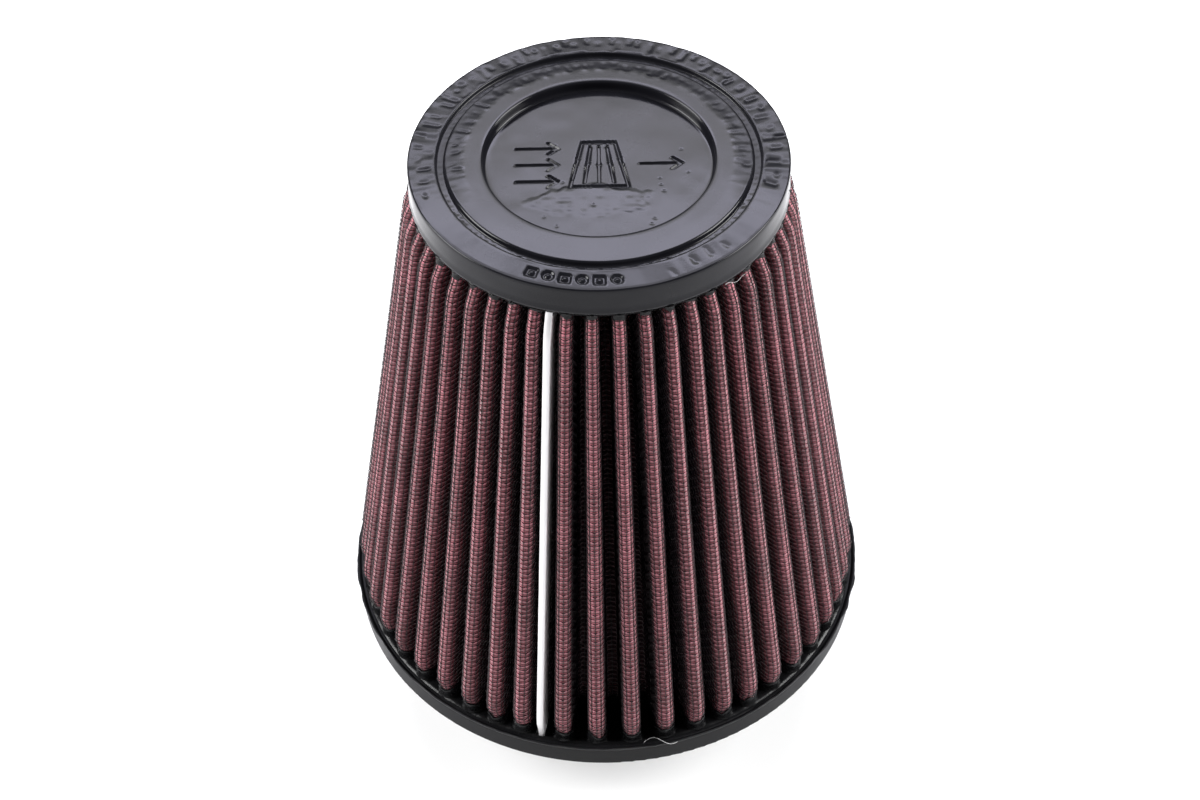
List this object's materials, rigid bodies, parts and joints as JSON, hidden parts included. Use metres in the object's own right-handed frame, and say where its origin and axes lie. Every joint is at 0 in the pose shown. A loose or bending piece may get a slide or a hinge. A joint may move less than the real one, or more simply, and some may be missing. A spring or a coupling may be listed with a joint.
{
  "type": "air filter",
  "caption": "Cone air filter: pleated gauze between wire screens, a rubber base with a clamp-on neck and worm-drive clamp, and a closed rubber cap.",
  "frame": {"origin": "centre of the neck's mouth, the filter's lowest face as it stands", "axes": "+Z along the filter's axis, from the neck's mouth to the closed cap; the seam strip faces -Y, a little towards -X; the clamp's housing faces +X"},
  "size_m": [0.14, 0.14, 0.1785],
  "materials": {
    "base_rubber": "moulded black rubber, satin, slightly glossy where it has wicked up the pleats",
    "cap_rubber": "poured dark grey rubber, glossy, with flow wrinkles and small pits",
    "oiled_gauze": "open cotton gauze, tacky with red filter oil, blotchy",
    "screen_wire": "woven aluminium wire, dull, stained by the oil",
    "seam_metal": "bright rolled strip with fine marks along its length",
    "clamp_steel": "stainless strip, brushed along its length",
    "screw_zinc": "plated steel screw, semi-bright"
  },
  "bodies": {
    "filter": {"base_flange": "base_rubber", "inner_screen": "screen_wire", "gauze_layer_1": "oiled_gauze", "gauze_layer_2": "oiled_gauze", "gauze_layer_3": "oiled_gauze", "gauze_layer_4": "oiled_gauze", "outer_screen": "screen_wire", "seam_clip": "seam_metal", "top_cap": "cap_rubber"},
    "clamp": {"clamp_band": "clamp_steel", "clamp_housing": "clamp_steel"},
    "screw": {"clamp_screw": "screw_zinc"}
  },
  "joints": [
    {"name": "clamp_turn", "type": "hinge", "parent": "filter", "child": "clamp", "pos_m": [0, 0, 0.011], "axis": [0, 0, 1], "continuous": true},
    {"name": "screw_turn", "type": "hinge", "parent": "clamp", "child": "screw", "pos_m": [0.04433, 0, 0.011], "axis": [0, -1, 0], "continuous": true}
  ]
}
